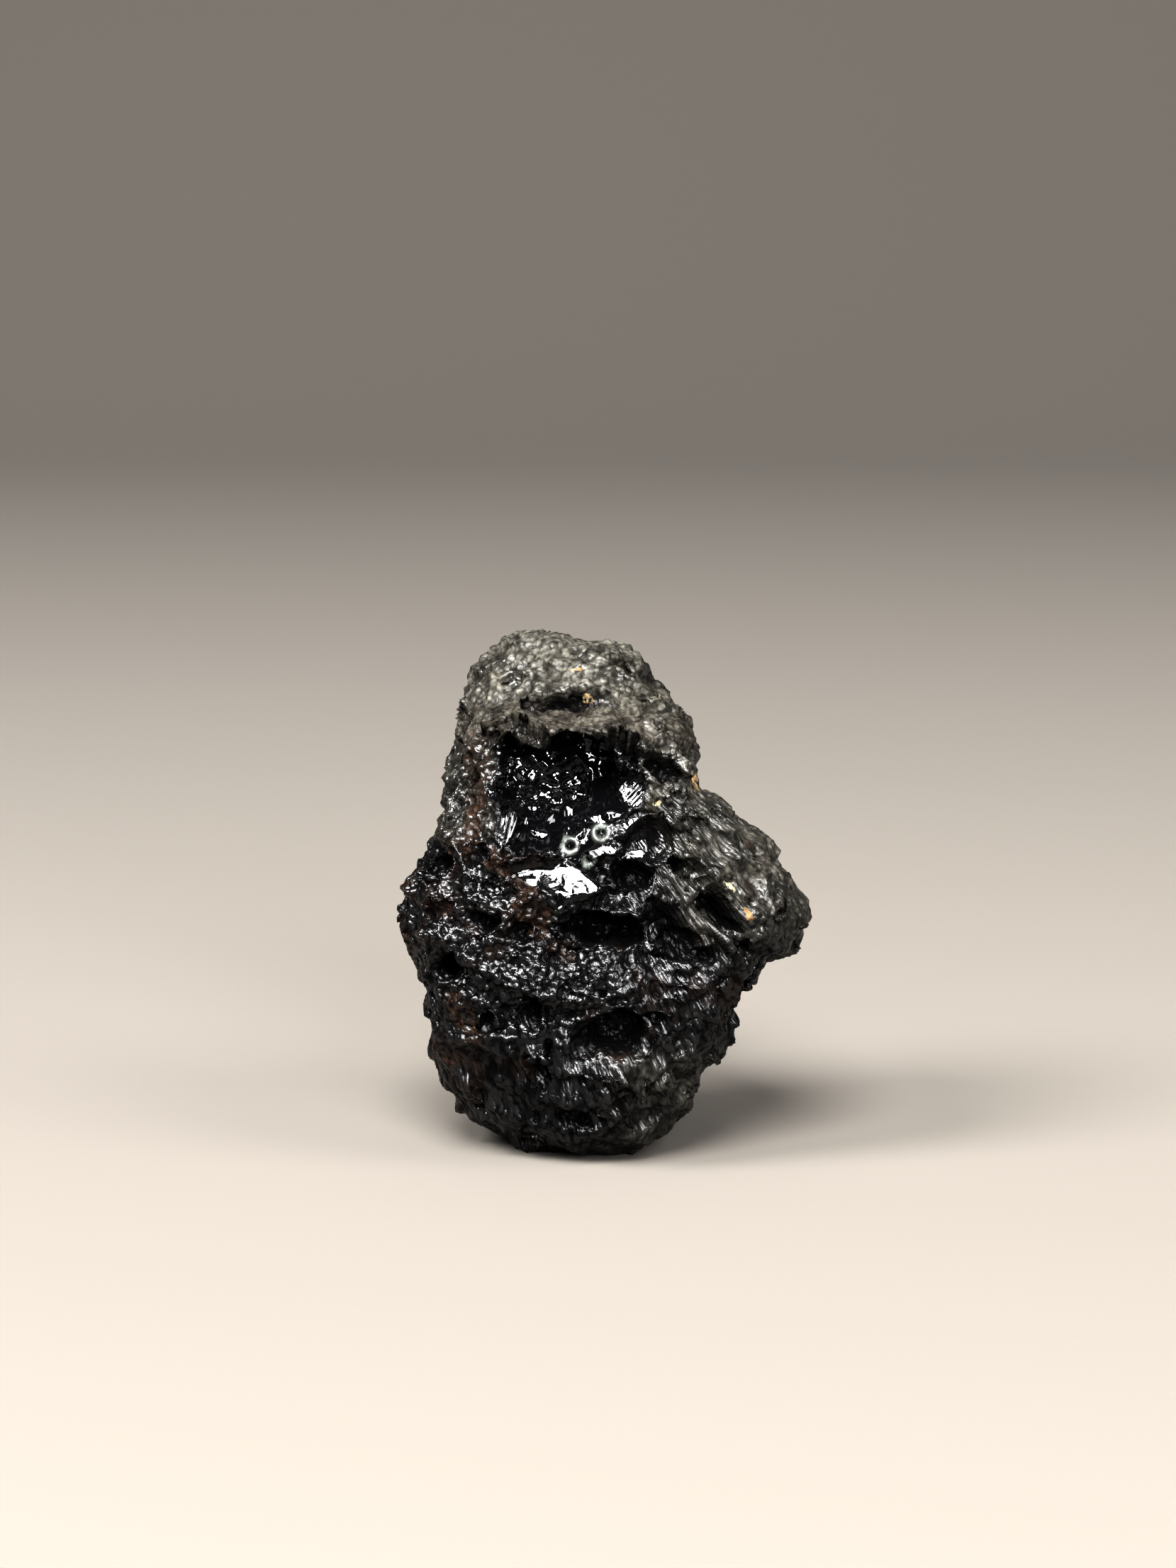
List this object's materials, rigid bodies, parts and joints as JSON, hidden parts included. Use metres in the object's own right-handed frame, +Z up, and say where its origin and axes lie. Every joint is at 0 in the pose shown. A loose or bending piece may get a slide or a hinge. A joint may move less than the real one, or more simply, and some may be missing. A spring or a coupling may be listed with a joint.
{
  "type": "tektite",
  "caption": "Irregular pitted pebble of black natural glass with one large open bubble on its front, standing on a small flat spot.",
  "frame": {"origin": "on the flat resting spot, under the middle of the stone", "axes": "+Z up from the flat spot the stone stands on, -Y towards the large open bubble on the front, +X to the right seen from the front"},
  "size_m": [0.0115, 0.0105, 0.0142],
  "materials": {
    "tektite_glass": "opaque black glass, glossy in the bubbles and satin on the weathered skin"
  },
  "bodies": {
    "root": {"tektite": "tektite_glass"}
  },
  "joints": []
}
